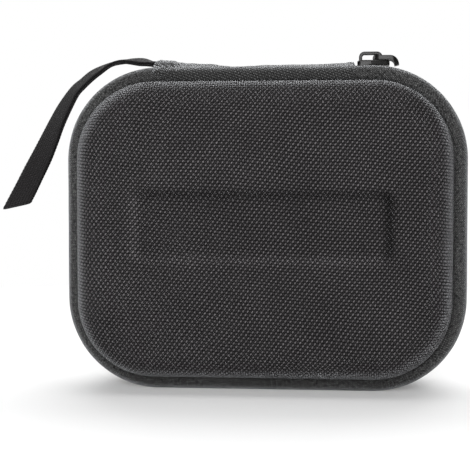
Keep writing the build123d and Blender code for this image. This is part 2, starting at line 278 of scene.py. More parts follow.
# Plain weave: how high the thread across and the thread upwards stand at a place, from 0 to 1
def plainWeave(tree, vector, acrossPitch, upPitch, lean=0.0, rowGap=0.92):
    columnGap = 0.7
    parts = tree.nodes.new("ShaderNodeSeparateXYZ")
    tree.links.new(vector, parts.inputs[0])
    u = calc(tree, "DIVIDE", parts.outputs[0], acrossPitch)
    v = calc(tree, "DIVIDE", parts.outputs[1], upPitch)
    column, row = calc(tree, "FLOOR", u), calc(tree, "FLOOR", v)
    fromColumn = calc(tree, "SUBTRACT", calc(tree, "SUBTRACT", u, column), 0.5)
    fromRow = calc(tree, "SUBTRACT", calc(tree, "SUBTRACT", v, row), 0.5)
    fromColumn = calc(tree, "MULTIPLY_ADD", fromRow, -lean, fromColumn)
    odd = calc(tree, "FLOORED_MODULO", calc(tree, "ADD", column, row), 2.0)
    sign = calc(tree, "MULTIPLY_ADD", odd, -2.0, 1.0)
    cosU = calc(tree, "COSINE", calc(tree, "MULTIPLY", fromColumn, math.pi))
    cosV = calc(tree, "COSINE", calc(tree, "MULTIPLY", fromRow, math.pi))
    over = calc(tree, "MULTIPLY_ADD", calc(tree, "MULTIPLY", sign, cosU), 0.5, 0.5)
    weft = calc(tree, "MULTIPLY", over, calc(tree, "MULTIPLY_ADD", cosV, rowGap, 1 - rowGap))
    over = calc(tree, "MULTIPLY_ADD", calc(tree, "MULTIPLY", sign, cosV), -0.5, 0.5)
    warp = calc(tree, "MULTIPLY", over, calc(tree, "MULTIPLY_ADD", cosU, columnGap, 1 - columnGap))
    return weft, warp


# What a woven finish has where its own look doesn't say
usualWeave = {
    "turn": 0.0, "wander": 0.0, "rowSlope": 0.0, "lean": 0.0, "rowGap": 0.92, "gapPower": 1.6,
    "fleckScale": 1.6, "fleckLow": 0.55, "fleckHigh": 1.25, "warpShare": 0.6, "slopeShadeStrength": 0.0,
    "fuzz": 0.15, "fuzzScale": 4.0, "sheen": 0.15, "sheenRoughness": 0.45,
}


def wovenMaterial(name, ownLook):
    look = {**usualWeave, **ownLook}
    material, tree, shader = startMaterial(name, look["roughness"], look["specular"])
    vector = clothCoordinates(tree, look["turn"], look["wander"], look["rowSlope"])
    weft, warp = plainWeave(tree, vector, look["across"], look["up"], look["lean"], look["rowGap"])
    height = calc(tree, "MAXIMUM", weft, warp)
    weftOnTop = calc(tree, "GREATER_THAN", weft, warp)
    fine = noiseOn(tree, vector, look["fleckScale"], 2.0, 0.7)
    wide = noiseOn(tree, vector, 0.05, 3.0, 0.6)
    shares = [
        stretch(tree, fine, 0.35, 0.75, look["fleckLow"], look["fleckHigh"]),
        stretch(tree, wide, 0.35, 0.65, 0.9, 1.1),
        stretch(tree, weftOnTop, 0.0, 1.0, look["warpShare"], 1.0),
    ]
    # Painted light and shade on the front panel's slopes, read from a point attribute
    if look["slopeShadeStrength"]:
        slopeShade = tree.nodes.new("ShaderNodeAttribute")
        slopeShade.attribute_name = "slopeShade"
        shares.append(stretch(tree, slopeShade.outputs["Fac"], 0.0, 1.0, 1 - look["slopeShadeStrength"], 1 + look["slopeShadeStrength"]))
    # Tone falls from the thread colour to the gap colour where the threads sink: painted shade between the
    # threads
    tone = calc(tree, "POWER", height, look["gapPower"])
    for share in shares:
        tone = calc(tree, "MULTIPLY", tone, share)
    tree.links.new(blendColour(tree, tone, look["gap"], look["thread"]), shader.inputs["Base Color"])
    fuzz = noiseOn(tree, vector, look["fuzzScale"], 2.0, 0.6)
    addBump(tree, shader, calc(tree, "MULTIPLY_ADD", fuzz, look["fuzz"], height), look["relief"])
    setInputs(shader, {"Sheen Weight": look["sheen"], "Sheen Roughness": look["sheenRoughness"]})
    shader.inputs["Sheen Tint"].default_value = (0.8, 0.82, 0.85, 1.0)
    return material


# Webbing: a close, coarse weave without the wander of the other cloths
def webbingMaterial(name, look):
    material, tree, shader = startMaterial(name, look["roughness"], look["specular"])
    vector = clothCoordinates(tree, 0.0, 0.1)
    weft, warp = plainWeave(tree, vector, look["across"], look["up"])
    height = calc(tree, "MAXIMUM", weft, warp)
    fine = noiseOn(tree, vector, 2.0, 2.0, 0.7)
    # Tone falls from the thread colour to the gap colour where the threads sink: painted shade between the
    # threads
    tone = calc(tree, "MULTIPLY", height, stretch(tree, fine, 0.3, 0.8, 0.5, 1.2))
    tree.links.new(blendColour(tree, tone, look["gap"], look["thread"]), shader.inputs["Base Color"])
    addBump(tree, shader, height, look["relief"])
    setInputs(shader, {"Sheen Weight": look["sheen"], "Sheen Roughness": 0.5})
    return material


# Moulded, lacquered and spun finishes, which need no cloth coordinates
def grainMaterial(name, look):
    material, tree, shader = startMaterial(name, look["roughness"], look["specular"])
    place = tree.nodes.new("ShaderNodeTexCoord")
    grain = noiseOn(tree, place.outputs["Object"], look["grainScale"], 3.0, 0.6)
    wide = noiseOn(tree, place.outputs["Object"], 60.0, 2.0, 0.5)
    tone = calc(tree, "MULTIPLY", stretch(tree, grain, 0.3, 0.7), stretch(tree, wide, 0.3, 0.7, 0.7, 1.0))
    tree.links.new(blendColour(tree, tone, look["dark"], look["pale"]), shader.inputs["Base Color"])
    addBump(tree, shader, grain, look["relief"], 0.4)
    shader.inputs["Sheen Weight"].default_value = look.get("sheen", 0.0)
    return material


# In each cloth below, gap is the painted shade between the threads and thread is the threads' own colour
coarseNylon = wovenMaterial("coarseNylon", {
    "across": 0.78, "up": 1.05, "rowSlope": 0.078, "lean": 0.55, "rowGap": 0.55, "wander": 3.0,
    "gap": (0.001, 0.001, 0.001), "thread": (0.127, 0.12, 0.124), "gapPower": 2.4, "warpShare": 0.28,
    # The 0.75 below is how strongly the panel's slopes are painted lighter and darker
    "fleckLow": 0.5, "fleckHigh": 1.35, "slopeShadeStrength": 0.75, "relief": 0.4,
    "roughness": 0.6, "specular": 0.02, "sheen": 0.42, "sheenRoughness": 0.15,
})
bandNylon = wovenMaterial("bandNylon", {
    "across": 0.55, "up": 0.6, "turn": 38.0, "wander": 1.5,
    "gap": (0.004, 0.004, 0.004), "thread": (0.13, 0.13, 0.13), "gapPower": 1.2, "warpShare": 0.6,
    "fleckLow": 0.1, "fleckHigh": 1.7, "fleckScale": 1.1, "relief": 0.25,
    "roughness": 0.65, "specular": 0.12, "sheen": 0.5, "sheenRoughness": 0.24,
})
hingeNylon = wovenMaterial("hingeNylon", {
    "across": 0.6, "up": 0.85, "turn": 20.0, "wander": 2.0,
    "gap": (0.003, 0.003, 0.003), "thread": (0.139, 0.139, 0.139), "gapPower": 1.7, "warpShare": 0.45,
    "fleckLow": 0.35, "fleckHigh": 1.4, "relief": 0.35,
    "roughness": 0.62, "specular": 0.16, "sheen": 0.5, "sheenRoughness": 0.3,
})
zipCloth = wovenMaterial("zipCloth", {
    "across": 0.45, "up": 0.45, "roughness": 0.8, "specular": 0.2,
    "gap": (0.004, 0.004, 0.005), "thread": (0.03, 0.03, 0.032), "relief": 0.08,
})
strapWebbing = webbingMaterial("strapWebbing", {
    "across": 1.1, "up": 0.6, "roughness": 0.7, "specular": 0.05, "sheen": 0.04,
    "gap": (0.002, 0.002, 0.002), "thread": (0.024, 0.022, 0.023), "relief": 0.35,
})
bindingWeave = webbingMaterial("bindingWeave", {
    "across": 0.9, "up": 0.5, "roughness": 0.78, "specular": 0.2,
    "gap": (0.004, 0.004, 0.005), "thread": (0.035, 0.035, 0.037), "relief": 0.12, "sheen": 0.1,
})
liningKnit = wovenMaterial("liningKnit", {
    "across": 0.5, "up": 0.7, "turn": 90.0, "wander": 1.0, "roughness": 0.8, "specular": 0.2,
    "gap": (0.02, 0.02, 0.021), "thread": (0.075, 0.075, 0.078), "relief": 0.08, "sheen": 0.15,
})
coilNylon = grainMaterial("coilNylon", {
    "grainScale": 900.0, "roughness": 0.42, "specular": 0.45, "relief": 0.03,
    "dark": (0.012, 0.012, 0.013), "pale": (0.03, 0.03, 0.032),
})
sliderLacquer = grainMaterial("sliderLacquer", {
    "grainScale": 700.0, "roughness": 0.33, "specular": 0.18, "relief": 0.02,
    "dark": (0.002, 0.002, 0.0018), "pale": (0.007, 0.0065, 0.006),
})
netYarn = grainMaterial("netYarn", {
    "grainScale": 1500.0, "roughness": 0.8, "specular": 0.2, "relief": 0.05,
    "dark": (0.015, 0.015, 0.016), "pale": (0.05, 0.05, 0.053), "sheen": 0.1,
})
seamThread = grainMaterial("seamThread", {
    "grainScale": 2500.0, "roughness": 0.6, "specular": 0.3, "relief": 0.04,
    "dark": (0.02, 0.02, 0.021), "pale": (0.06, 0.06, 0.063),
})
print("materials done")


# Moulded halves and their linings: a section swept round the outline and closed by caps

moulded = {
    "inset": 4.8, "wallStart": 6.3, "wallDepths": (8.9, 10.0, 11.5, 13.0, 14.5, 16.0, 17.4),
    "draft": math.radians(4.0), "edge": 10.0, "edgeSteps": 18, "wall": 4.0, "skin": 0.5, "glue": 0.02,
    "flangeInset": 1.6, "flangeEnd": 8.9, "innerBend": 12.0, "flatten": 0.586, "around": 548,
    "lastInset": 26.0, "fineStep": 0.72, "fineSpine": 34, "plainStep": 6.0, "plainSpine": 4,
}
panel = {"width": 87.4, "height": 25.4, "depth": 1.2, "slope": 4.0, "corner": 5.0, "rise": 1.2}
# Painted light and shade on the sunk panel: the step over which its slope is read, the slope's weight across
# and upwards, and how much darker the recess itself is painted
slopeShading = {"reach": 1.3, "across": 1.0, "up": 0.6, "deep": 0.05}


# Inset of the drafted wall at a depth, as far inside its outer face as the skin says
def wallInset(depth, skin=0.0):
    m = moulded
    return m["inset"] + skin + (depth - m["wallStart"]) * math.tan(m["draft"])


def outerSection():
    m = moulded
    centreDepth = case["halfDepth"] - m["edge"]
    centreInset = wallInset(centreDepth) + m["edge"] / math.cos(m["draft"])
    points = [(wallInset(depth), depth) for depth in m["wallDepths"]]
    for step in range(m["edgeSteps"] + 1):
        angle = m["draft"] + (math.pi / 2 - m["draft"]) * step / m["edgeSteps"]
        points.append((centreInset - m["edge"] * math.cos(angle), centreDepth + m["edge"] * math.sin(angle)))
    return points


def innerSection(skin):
    m, face = moulded, case["halfDepth"] - skin
    flat = m["flatten"] * (m["edge"] - skin)
    points = [(wallInset(depth, skin), depth) for depth in (m["wallStart"], m["innerBend"], face - flat)]
    return points + [(wallInset(face, skin) + flat, face)]


# How deep the sunk panel is at a place on the face, with soft sloping sides
def panelDepth(x, z):
    p = panel
    dx = abs(x) - (p["width"] / 2 - p["corner"])
    dz = abs(z - case["height"] / 2 - p["rise"]) - (p["height"] / 2 - p["corner"])
    outside = math.hypot(max(dx, 0), max(dz, 0)) + min(max(dx, dz), 0) - p["corner"]
    t = clamp(-outside / p["slope"])
    return p["depth"] * t * t * (3 - 2 * t)


# Painted light and shade at a place on the front face, as if lit from the upper right: over 0.5 (lighter) on
# the panel's left and lower slopes, under 0.5 (darker) on its right and upper slopes, and a little darker
# down in the recess
def slopeShadeAt(x, z):
    p, reach = slopeShading, slopeShading["reach"]
    across = (panelDepth(x + reach, z) - panelDepth(x - reach, z)) / (2 * reach)
    up = (panelDepth(x, z + reach) - panelDepth(x, z - reach)) / (2 * reach)
    return clamp(0.5 + p["across"] * across + p["up"] * up - p["deep"] * panelDepth(x, z))


# Rings from one cap's middle, over the section, to the other cap's middle
def mouldedHalf(name, side, inner, outer, isShell):
    m = moulded
    half = (case["width"] - case["height"]) / 2
    midZ = case["height"] / 2
    rim = [rimPoint(case["perimeter"] * k / m["around"]) for k in range(m["around"])]

    def capRings(edge, step, spineSteps):
        edgeInset, depth = edge
        rings = []
        inset = edgeInset + step
        while inset < m["lastInset"]:
            rings.append([(x - ox * inset, z - oz * inset, depth, 0.0) for x, z, ox, oz in rim])
            inset += step
        for k in range(spineSteps + 1):
            t = k / spineSteps
            ring = []
            for x, z, ox, oz in rim:
                px, pz = x - ox * m["lastInset"], z - oz * m["lastInset"]
                sx = min(max(px, -half), half)
                ring.append((px + (sx - px) * t, pz + (midZ - pz) * t, depth, 0.0))
            rings.append(ring)
        return rings

    def wallRings(section):
        edge = section[-1][0]
        lengths = [0.0]
        for a, b in zip(section[::-1], section[-2::-1]):
            lengths.append(lengths[-1] + math.hypot(a[0] - b[0], a[1] - b[1]))
        lengths.reverse()
        return [[(x - ox * i, z - oz * i, d, length - (edge - i)) for x, z, ox, oz in rim]
                for (i, d), length in zip(section, lengths)]

    plain, fine = (m["plainStep"], m["plainSpine"]), (m["fineStep"], m["fineSpine"])
    rings = capRings(inner[-1], *plain)[::-1] + wallRings(inner)[::-1] + wallRings(outer)
    faceStart = len(rings)
    rings += capRings(outer[-1], *(fine if isShell else plain))
    verts, cloth, slopeShade = [], [], []
    for number, ring in enumerate(rings):
        onFace = isShell and side < 0 and number >= faceStart
        for (x, z, depth, extra), (_, _, ox, oz) in zip(ring, rim):
            # Painted light and shade of the front face's panel, 0.5 (none) elsewhere
            slopeShade.append(slopeShadeAt(x, z) if onFace else 0.5)
            if onFace:
                depth -= panelDepth(x, z)
            verts.append(fromMiddle(x, side * depth, z))
            cloth.append((x + ox * extra, z + oz * extra))
    faces = ringFaces(len(verts), m["around"])
    obj = makeObject(name, verts, faces, [cloth[v] for face in faces for v in face])
    obj.data.attributes.new("slopeShade", "FLOAT", "POINT").data.foreach_set("value", slopeShade)
    return tidyMesh(obj)


def mouldedShell(name, side):
    m = moulded
    flange = [(m["inset"] + m["wall"], m["wallStart"]), (m["flangeInset"], m["wallStart"]),
              (m["flangeInset"], m["flangeEnd"])]
    return mouldedHalf(name, side, innerSection(m["wall"]), flange + outerSection(), True)


def knitLining(name, side):
    wall = moulded["wall"]
    inside, outside = innerSection(wall + moulded["skin"]), innerSection(wall + moulded["glue"])
    return mouldedHalf(name, side, inside, outside, False)


for label, side in halves:
    shell = mouldedShell(label + "Shell", side)
    dress(shell, coarseNylon, label + "_half", "shell_fabric", label + "_shell")
for label, side in halves:
    lining = knitLining(label + "Lining", side)
    dress(lining, liningKnit, label + "_half", "lining_knit", label + "_lining")
print("moulded halves and linings done")


# Anything that follows the rim with one closed section: bands, tapes and bindings

band = {
    "roll": 3.2, "rollSteps": 12, "back": 10.4, "channel": 5.6, "grooveInset": 4.98, "foot": 8.95,
    "groove": [(4.9, 9.45), (4.6, 9.95), (4.1, 10.28)], "crown": 3.6, "fold": 0.45, "lip": 4.7,
    "flange": 1.58, "flangeTop": 6.25, "underHinge": 0.6, "step": 0.9, "puff": 0.035,
    "puffGrain": (0.11, 0.35, 0.3),
}


# Puff swells and narrows the section a little on its way, as stuffed cloth does
def sweptRing(name, side, section, start, end, step, puff=0.0, seed=0.0):
    count = max(int((end - start) / step), 8)
    spots = [start + (end - start) * k / count for k in range(count + 1)]
    closed = abs(end - start - case["perimeter"]) < 0.01
    middle = [sum(p[axis] for p in section) / len(section) for axis in (0, 1)]
    alongGrain, insetGrain, depthGrain = band["puffGrain"]
    verts = []
    for spot in spots:
        for inset, depth in section:
            if puff:
                place = Vector((spot * alongGrain, inset * insetGrain + seed, depth * depthGrain))
                grow = 1 + puff * noise.noise(place)
                inset = middle[0] + (inset - middle[0]) * grow
                depth = middle[1] + (depth - middle[1]) * grow
            verts.append(onRim(spot, inset, depth, side))
    return tubeObject(name, verts, spots, lengthsRound(section), None if closed else section)


def bandSection():
    b = band
    points = [(b["grooveInset"] - 0.02, b["foot"])] + b["groove"] + [(b["crown"], b["back"])]
    for step in range(b["rollSteps"] + 1):
        angle = math.pi / 2 * step / b["rollSteps"]
        inset = b["roll"] - b["roll"] * math.sin(angle)
        points.append((inset, b["back"] - b["roll"] + b["roll"] * math.cos(angle)))
    points += [(0.0, 6.5), (0.02, b["channel"] + b["fold"]), (0.15, b["channel"] + 0.15)]
    points += [(inset, b["channel"]) for inset in (b["fold"], 1.2, 2.6, b["lip"])]
    return points + [(b["lip"], b["flangeTop"]), (b["flange"], b["flangeTop"]), (b["flange"], b["foot"])]


fullTurn = case["perimeter"]
bandStart = case["hingeHalf"] - band["underHinge"]
for label, side in halves:
    ring = sweptRing(label + "Band", side, bandSection(), bandStart, fullTurn - bandStart,
                     band["step"], band["puff"], 3.0 * side)
    dress(ring, bandNylon, label + "_half", "band_fabric", label + "_rim_band")

zipSizes = {
    "tapeInset": 1.97, "tapeThick": 0.55, "tapeEnd": 5.55, "tapeStep": 1.5, "gap": 0.95,
    "pitch": 1.27, "rod": 0.42, "sides": 6, "from": 2.75, "to": 0.75, "head": 0.2,
    "depth": 1.05, "clear": 0.2, "squash": 0.95, "endGap": 0.6, "pathSteps": 420,
}
bindingSizes = {
    "step": 1.2,
    "section": [(9.78, 6.3), (9.84, 7.3), (10.22, 12.3), (9.72, 12.3), (9.3, 6.3), (9.3, 5.82),
                (5.05, 5.85), (5.0, 6.27), (9.0, 6.3)],
}


def tapeSection():
    z = zipSizes
    outside, inside = z["tapeInset"], z["tapeInset"] + z["tapeThick"]
    return [(outside, z["gap"]), (outside, z["tapeEnd"]), (inside, z["tapeEnd"]), (inside, z["gap"])]


for label, side in halves:
    tape = sweptRing(label + "ZipTape", side, tapeSection(), case["hingeHalf"],
                     fullTurn - case["hingeHalf"], zipSizes["tapeStep"])
    dress(tape, zipCloth, label + "_half", "zip_tape", label + "_zip_tape")
    binding = sweptRing(label + "Binding", side, bindingSizes["section"], 0.0, fullTurn,
                        bindingSizes["step"])
    dress(binding, bindingWeave, label + "_half", "binding_tape", label + "_inner_binding")
print("bands, tapes and bindings done")


# Geometry Nodes

def nodeTree(name, inputs):
    tree = bpy.data.node_groups.new(name, "GeometryNodeTree")
    tree.interface.new_socket("Geometry", in_out="INPUT", socket_type="NodeSocketGeometry")
    for label, kind, value in inputs:
        socket = tree.interface.new_socket(label, in_out="INPUT", socket_type=kind)
        if value is not None:
            socket.default_value = value
    tree.interface.new_socket("Geometry", in_out="OUTPUT", socket_type="NodeSocketGeometry")
    return tree, tree.nodes.new("NodeGroupInput"), tree.nodes.new("NodeGroupOutput")


# Runs a tree on an object and gives the result as a plain mesh object
def bakeNodes(obj, tree, values, name):
    modifier = obj.modifiers.new("pattern", "NODES")
    modifier.node_group = tree
    for item in tree.interface.items_tree:
        if item.item_type == "SOCKET" and item.in_out == "INPUT" and item.name in values:
            modifier[item.identifier] = values[item.name]
    bpy.context.view_layer.update()
    depsgraph = bpy.context.evaluated_depsgraph_get()
    mesh = bpy.data.meshes.new_from_object(obj.evaluated_get(depsgraph))
    result = linkObject(name, mesh)
    bpy.data.objects.remove(obj)
    return result


# Puts a piece at equal steps along a path, turned to follow it
def repeatTree(name, pivotAxis):
    tree, source, target = nodeTree(name, [
        ("Piece", "NodeSocketObject", None),
        ("Pitch", "NodeSocketFloat", 0.001),
        ("Material", "NodeSocketMaterial", None),
    ])
    add, link = tree.nodes.new, tree.links.new
    curve = add("GeometryNodeMeshToCurve")
    resample = add("GeometryNodeResampleCurve")
    resample.mode = "LENGTH"
    tangent = add("GeometryNodeInputTangent")
    align = add("FunctionNodeAlignRotationToVector")
    align.axis, align.pivot_axis = "X", pivotAxis
    piece = add("GeometryNodeObjectInfo")
    put = add("GeometryNodeInstanceOnPoints")
    real = add("GeometryNodeRealizeInstances")
    paint = add("GeometryNodeSetMaterial")
    link(source.outputs["Geometry"], curve.inputs[0])
    link(curve.outputs[0], resample.inputs["Curve"])
    link(source.outputs["Pitch"], resample.inputs["Length"])
    link(resample.outputs[0], put.inputs["Points"])
    link(source.outputs["Piece"], piece.inputs[0])
    link(piece.outputs["Geometry"], put.inputs["Instance"])
    link(tangent.outputs[0], align.inputs["Vector"])
    link(align.outputs[0], put.inputs["Rotation"])
    link(put.outputs[0], real.inputs[0])
    link(real.outputs[0], paint.inputs[0])
    link(source.outputs["Material"], paint.inputs["Material"])
    link(paint.outputs[0], target.inputs[0])
    return tree


repeatUpright = repeatTree("repeatUpright", "Y")
repeatAny = repeatTree("repeatAny", "AUTO")


def repeatPiece(name, points, shape, tree, pitch, material):
    path = wireObject(name + "Path", points, [(k, k + 1) for k in range(len(points) - 1)])
    row = bakeNodes(path, tree, {"Piece": shape, "Pitch": pitch * mm, "Material": material}, name)
    bpy.data.objects.remove(shape)
    return row


# Zip teeth: one small bent rod repeated along the rim. Each ring is its place and its size.
def toothShape():
    z = zipSizes
    rings = [(-z["from"], 0.75), (-1.9, 1.0), (-0.6, 0.85), (0.15, 1.05), (z["to"] - z["head"], 1.25),
             (z["to"], 0.5)]
    verts = []
    for y, size in rings:
        for k in range(z["sides"]):
            angle = 2 * math.pi * k / z["sides"]
            high = (z["depth"] - z["clear"]) * size * z["squash"] * math.sin(angle)
            verts.append((z["rod"] * size * math.cos(angle) * mm, y * mm, high * mm))
    return rodObject("toothShape", verts, z["sides"])


def zipTeeth(name, side, offset):
    z = zipSizes
    start = case["hingeHalf"] + z["endGap"] + offset
    end = case["perimeter"] - case["hingeHalf"] - z["endGap"]
    steps = z["pathSteps"]
    points = [onRim(start + (end - start) * k / steps, z["depth"], 0.0, side) for k in range(steps + 1)]
    shape = toothShape()
    if side > 0:
        shape.data.transform(Matrix.Scale(-1, 4, Vector((0, 1, 0))))
        tidyMesh(shape)
    return repeatPiece(name, points, shape, repeatUpright, z["pitch"], coilNylon)


dress(zipTeeth("frontCoil", -1, 0.0), coilNylon, "front_half", "zip_coil", "front_zip_coil")
dress(zipTeeth("rearCoil", 1, zipSizes["pitch"] / 2), coilNylon, "rear_half", "zip_coil", "rear_zip_coil")
print("zip teeth done")


# Fabric hinge: a panel over both rolls, with a wavy crest and a folded hem at each end

hinge = {
    "start": -38.4, "steps": 132, "thick": 0.7, "back": 10.45, "roll": 3.2, "rollSteps": 8, "flatSteps": 14,
    "foot": 4.75, "endFoot": 2.0, "footFrom": -31.5, "footCurve": 1.5, "hem": 2.6, "hemRise": 0.2,
    "hemEdge": 0.4, "hemOver": 0.5, "tuck": 0.5, "tuckOver": 0.7, "fullness": 1.2, "slack": 0.8,
    "slackFrom": -29.0, "lumps": 0.5, "lumpsFrom": -27.5, "fade": 3.0, "wave": 0.16,
}
crest = [
    (-38.4, 2.5), (-35.6, 2.7), (-33.0, 2.75), (-30.0, 2.35), (-27.0, 1.95), (-20.0, 1.6),
    (-14.0, 0.8), (-10.0, 0.4), (-5.0, 0.75), (0.0, 1.1), (10.0, 1.05), (18.0, 1.25),
    (24.0, 1.5), (28.0, 1.6), (30.3, 1.65),
]


def alongCrest(x):
    for (x0, h0), (x1, h1) in zip(crest, crest[1:]):
        if x <= x1:
            t = clamp((x - x0) / (x1 - x0))
            t = t * t * (3 - 2 * t)
            return h0 + (h1 - h0) * t
    return crest[-1][1]


def hingeSection(rise, offset, foot, fullness):
    h = hinge
    roll, back, top = h["roll"] - offset, h["back"] - offset, case["height"] - offset
    flat = h["back"] - h["roll"]
    low = max(foot, h["roll"])
    points = [(-back, case["height"] - low), (-back, case["height"] - (low + h["roll"]) / 2)]
    first = math.asin(max(0.0, 1 - foot / h["roll"]))
    if first > 0:
        edge = (-flat - roll * math.cos(first), case["height"] - h["roll"] + roll * math.sin(first))
        points = [edge, edge]
    for step in range(h["rollSteps"] + 1):
        angle = first + (math.pi / 2 - first) * step / h["rollSteps"]
        points.append((-flat - roll * math.cos(angle), case["height"] - h["roll"] + roll * math.sin(angle)))
    farSide = [(-y, z) for y, z in reversed(points)]
    for step in range(1, h["flatSteps"]):
        y = -flat + 2 * flat * step / h["flatSteps"]
        points.append((y, top + rise * math.cos(math.pi / 2 * y / flat) ** fullness))
    return points + farSide


# Only the outer face waves and bulges, the lining face under it stays plain
def hingePanel():
    h = hinge
    xs = [h["start"] + (case["hingeHalf"] - h["start"]) * k / h["steps"] for k in range(h["steps"] + 1)]
    verts = []
    for x in xs:
        fromEnd = max(min(case["hingeHalf"] - x, x - h["start"]), 0.0)
        tuck = h["tuck"] * (1 - math.sqrt(1 - (1 - min(fromEnd / h["tuckOver"], 1.0)) ** 2))
        lift = h["hemRise"] * (1 - clamp((fromEnd - h["hem"] + h["hemEdge"]) / h["hemOver"])) - tuck
        lumps = h["lumps"] * clamp((h["lumpsFrom"] - x) / h["fade"])
        rise = alongCrest(x) - tuck
        short = clamp((h["footFrom"] - x) / (h["footFrom"] - h["start"]))
        foot = h["foot"] + (h["endFoot"] - h["foot"]) * short ** h["footCurve"]
        fullness = h["fullness"] - h["slack"] * clamp((h["slackFrom"] - x) / h["fade"])
        for y, z in hingeSection(rise, -lift, foot, fullness):
            bulge = wave = 0.0
            if z < case["height"] - 1:
                bulge = lumps * (0.4 + noise.noise(Vector((x * 0.6, z * 0.5, 9.0))))
            if z > case["height"] - 3:
                wave = h["wave"] * noise.noise(Vector((x * 0.16, y * 0.22, 4.0)))
                wave += lumps * noise.noise(Vector((x * 0.55, y * 0.5, z * 0.5)))
            verts.append(fromMiddle(x, y + math.copysign(bulge, y), z + wave))
        lining = hingeSection(rise - 0.1, h["thick"] - 0.05, foot, fullness)
        verts += [fromMiddle(x, y, z) for y, z in reversed(lining)]
    plain = hingeSection(1.1, 0.0, h["foot"], h["fullness"])
    around = lengthsRound(plain + plain[::-1])
    return tubeObject("hingePanel", verts, xs, around, [(0.0, length) for length in around[:-1]])


def hingeBlend(obj):
    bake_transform(obj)


panelCloth = hingePanel()
dress(panelCloth, hingeNylon, None, "hinge_fabric", "hinge_panel")
hingeBlend(panelCloth)

backingSizes = {
    "section": [(-8.7, 108.45), (-7.2, 108.42), (-3.6, 108.9), (0.0, 109.1), (3.6, 108.9), (7.2, 108.42),
                (8.7, 108.45)],
    "thick": 0.35, "steps": 40, "short": 0.2, "clothAlong": 1.4, "clothAround": 1.5,
}


def hingeBacking():
    b, half = backingSizes, case["hingeHalf"]
    loop = b["section"] + [(y, z + b["thick"]) for y, z in reversed(b["section"])]
    verts = []
    for k in range(b["steps"] + 1):
        x = -half + b["short"] + (2 * half - 2 * b["short"]) * k / b["steps"]
        verts += [fromMiddle(x, y, z) for y, z in loop]
    along = [b["clothAlong"] * k for k in range(b["steps"] + 1)]
    around = [b["clothAround"] * j for j in range(len(loop) + 1)]
    return tubeObject("hingeBacking", verts, along, around, [(0.0, length) for length in around[:-1]])


backing = hingeBacking()
dress(backing, bindingWeave, None, "webbing", "hinge_backing")
hingeBlend(backing)
print("fabric hinge done")


# Slider and pull: the CAD shapes with worn, rounded edges

def roundedCopy(node, name, width):
    obj = linkObject(name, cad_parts[node].data.copy())
    work = bmesh.new()
    work.from_mesh(obj.data)
    bmesh.ops.remove_doubles(work, verts=work.verts, dist=0.000002)
    bmesh.ops.dissolve_limit(work, angle_limit=math.radians(1.0), verts=work.verts, edges=work.edges)
    bmesh.ops.recalc_face_normals(work, faces=work.faces)
    work.to_mesh(obj.data)
    work.free()
    bevel = obj.modifiers.new("worn", "BEVEL")
    bevel.width, bevel.segments, bevel.limit_method = width * mm, 3, "ANGLE"
    bevel.angle_limit = math.radians(28)
    for polygon in obj.data.polygons:
        polygon.use_smooth = True
    bpy.context.view_layer.update()
    mesh = bpy.data.meshes.new_from_object(obj.evaluated_get(bpy.context.evaluated_depsgraph_get()))
    obj.modifiers.clear()
    obj.data = mesh
    return obj

metalPieces = [
    ("slider_body", "sliderBody", "zip_slider", 0.16),
    ("slider_bridge", "sliderBridge", "zip_slider", 0.22),
    ("pull_ring", "pullRing", "zip_pull", 0.3),
]
for node, name, body, edgeRound in metalPieces:
    dress(roundedCopy(node, name, edgeRound), sliderLacquer, body, "slider_metal", node)
print("slider done")


# Wrist strap: two plies of webbing from the hinge's end, over an arch and down the left side.
# Each place is x from the case's middle, z, the turn of the strap's width, how far the plies part
# and how far the inner one slips sideways.
strap = {
    "width": 10.0, "ply": 0.85, "across": 14, "smooth": 20, "edgeBump": 0.07, "edgePitch": 1.2,
    "slant": 3.6, "slantFrom": 24.0, "turnSteps": 8, "foldReach": 0.6, "foldStep": 0.4, "foldRun": 3,
    "edgeThin": 0.55, "edgePower": 8, "jointFrom": 50.8,
}
strapPlaces = [
    (-29.5, 110.9, 0, 0.3, 0.0), (-32.0, 110.95, 0, 0.5, 0.0),
    (-34.5, 111.0, 1, 0.7, 0.0), (-37.4, 111.3, 3, 0.9, 0.0),
    (-40.4, 111.9, 7, 0.9, 0.0), (-43.5, 112.5, 13, 0.9, 0.0), (-47.0, 112.8, 10, 0.8, 0.0),
    (-50.5, 112.6, 5, 0.7, 0.0), (-54.0, 111.8, 9, 0.75, 0.0), (-57.5, 110.1, 17, 0.85, 0.0),
    (-61.2, 107.9, 23, 0.95, 0.0), (-64.5, 105.1, 25, 0.95, 0.0), (-67.4, 102.3, 29, 0.95, 0.05),
    (-70.9, 96.8, 36, 0.95, 0.15), (-73.8, 91.2, 41, 0.95, 0.25), (-76.3, 85.6, 48, 0.95, 0.4),
    (-78.9, 80.0, 53, 1.15, 0.5), (-81.8, 74.4, 57, 1.15, 0.6), (-84.7, 68.7, 59, 1.15, 0.65),
    (-87.6, 63.3, 60, 1.15, 0.65),
]


def smoothPath(places, steps):
    result = []
    for k in range(len(places) - 1):
        p0, p1, p2, p3 = places[max(k - 1, 0)], places[k], places[k + 1], places[min(k + 2, len(places) - 1)]
        for s in range(steps):
            t = s / steps
            place = []
            for a, b, c, d in zip(p0, p1, p2, p3):
                square, cube = 2 * a - 5 * b + 4 * c - d, 3 * b - a - 3 * c + d
                place.append(0.5 * (2 * b + (c - a) * t + square * t * t + cube * t ** 3))
            result.append(tuple(place))
    result.append(tuple(places[-1]))
    return result


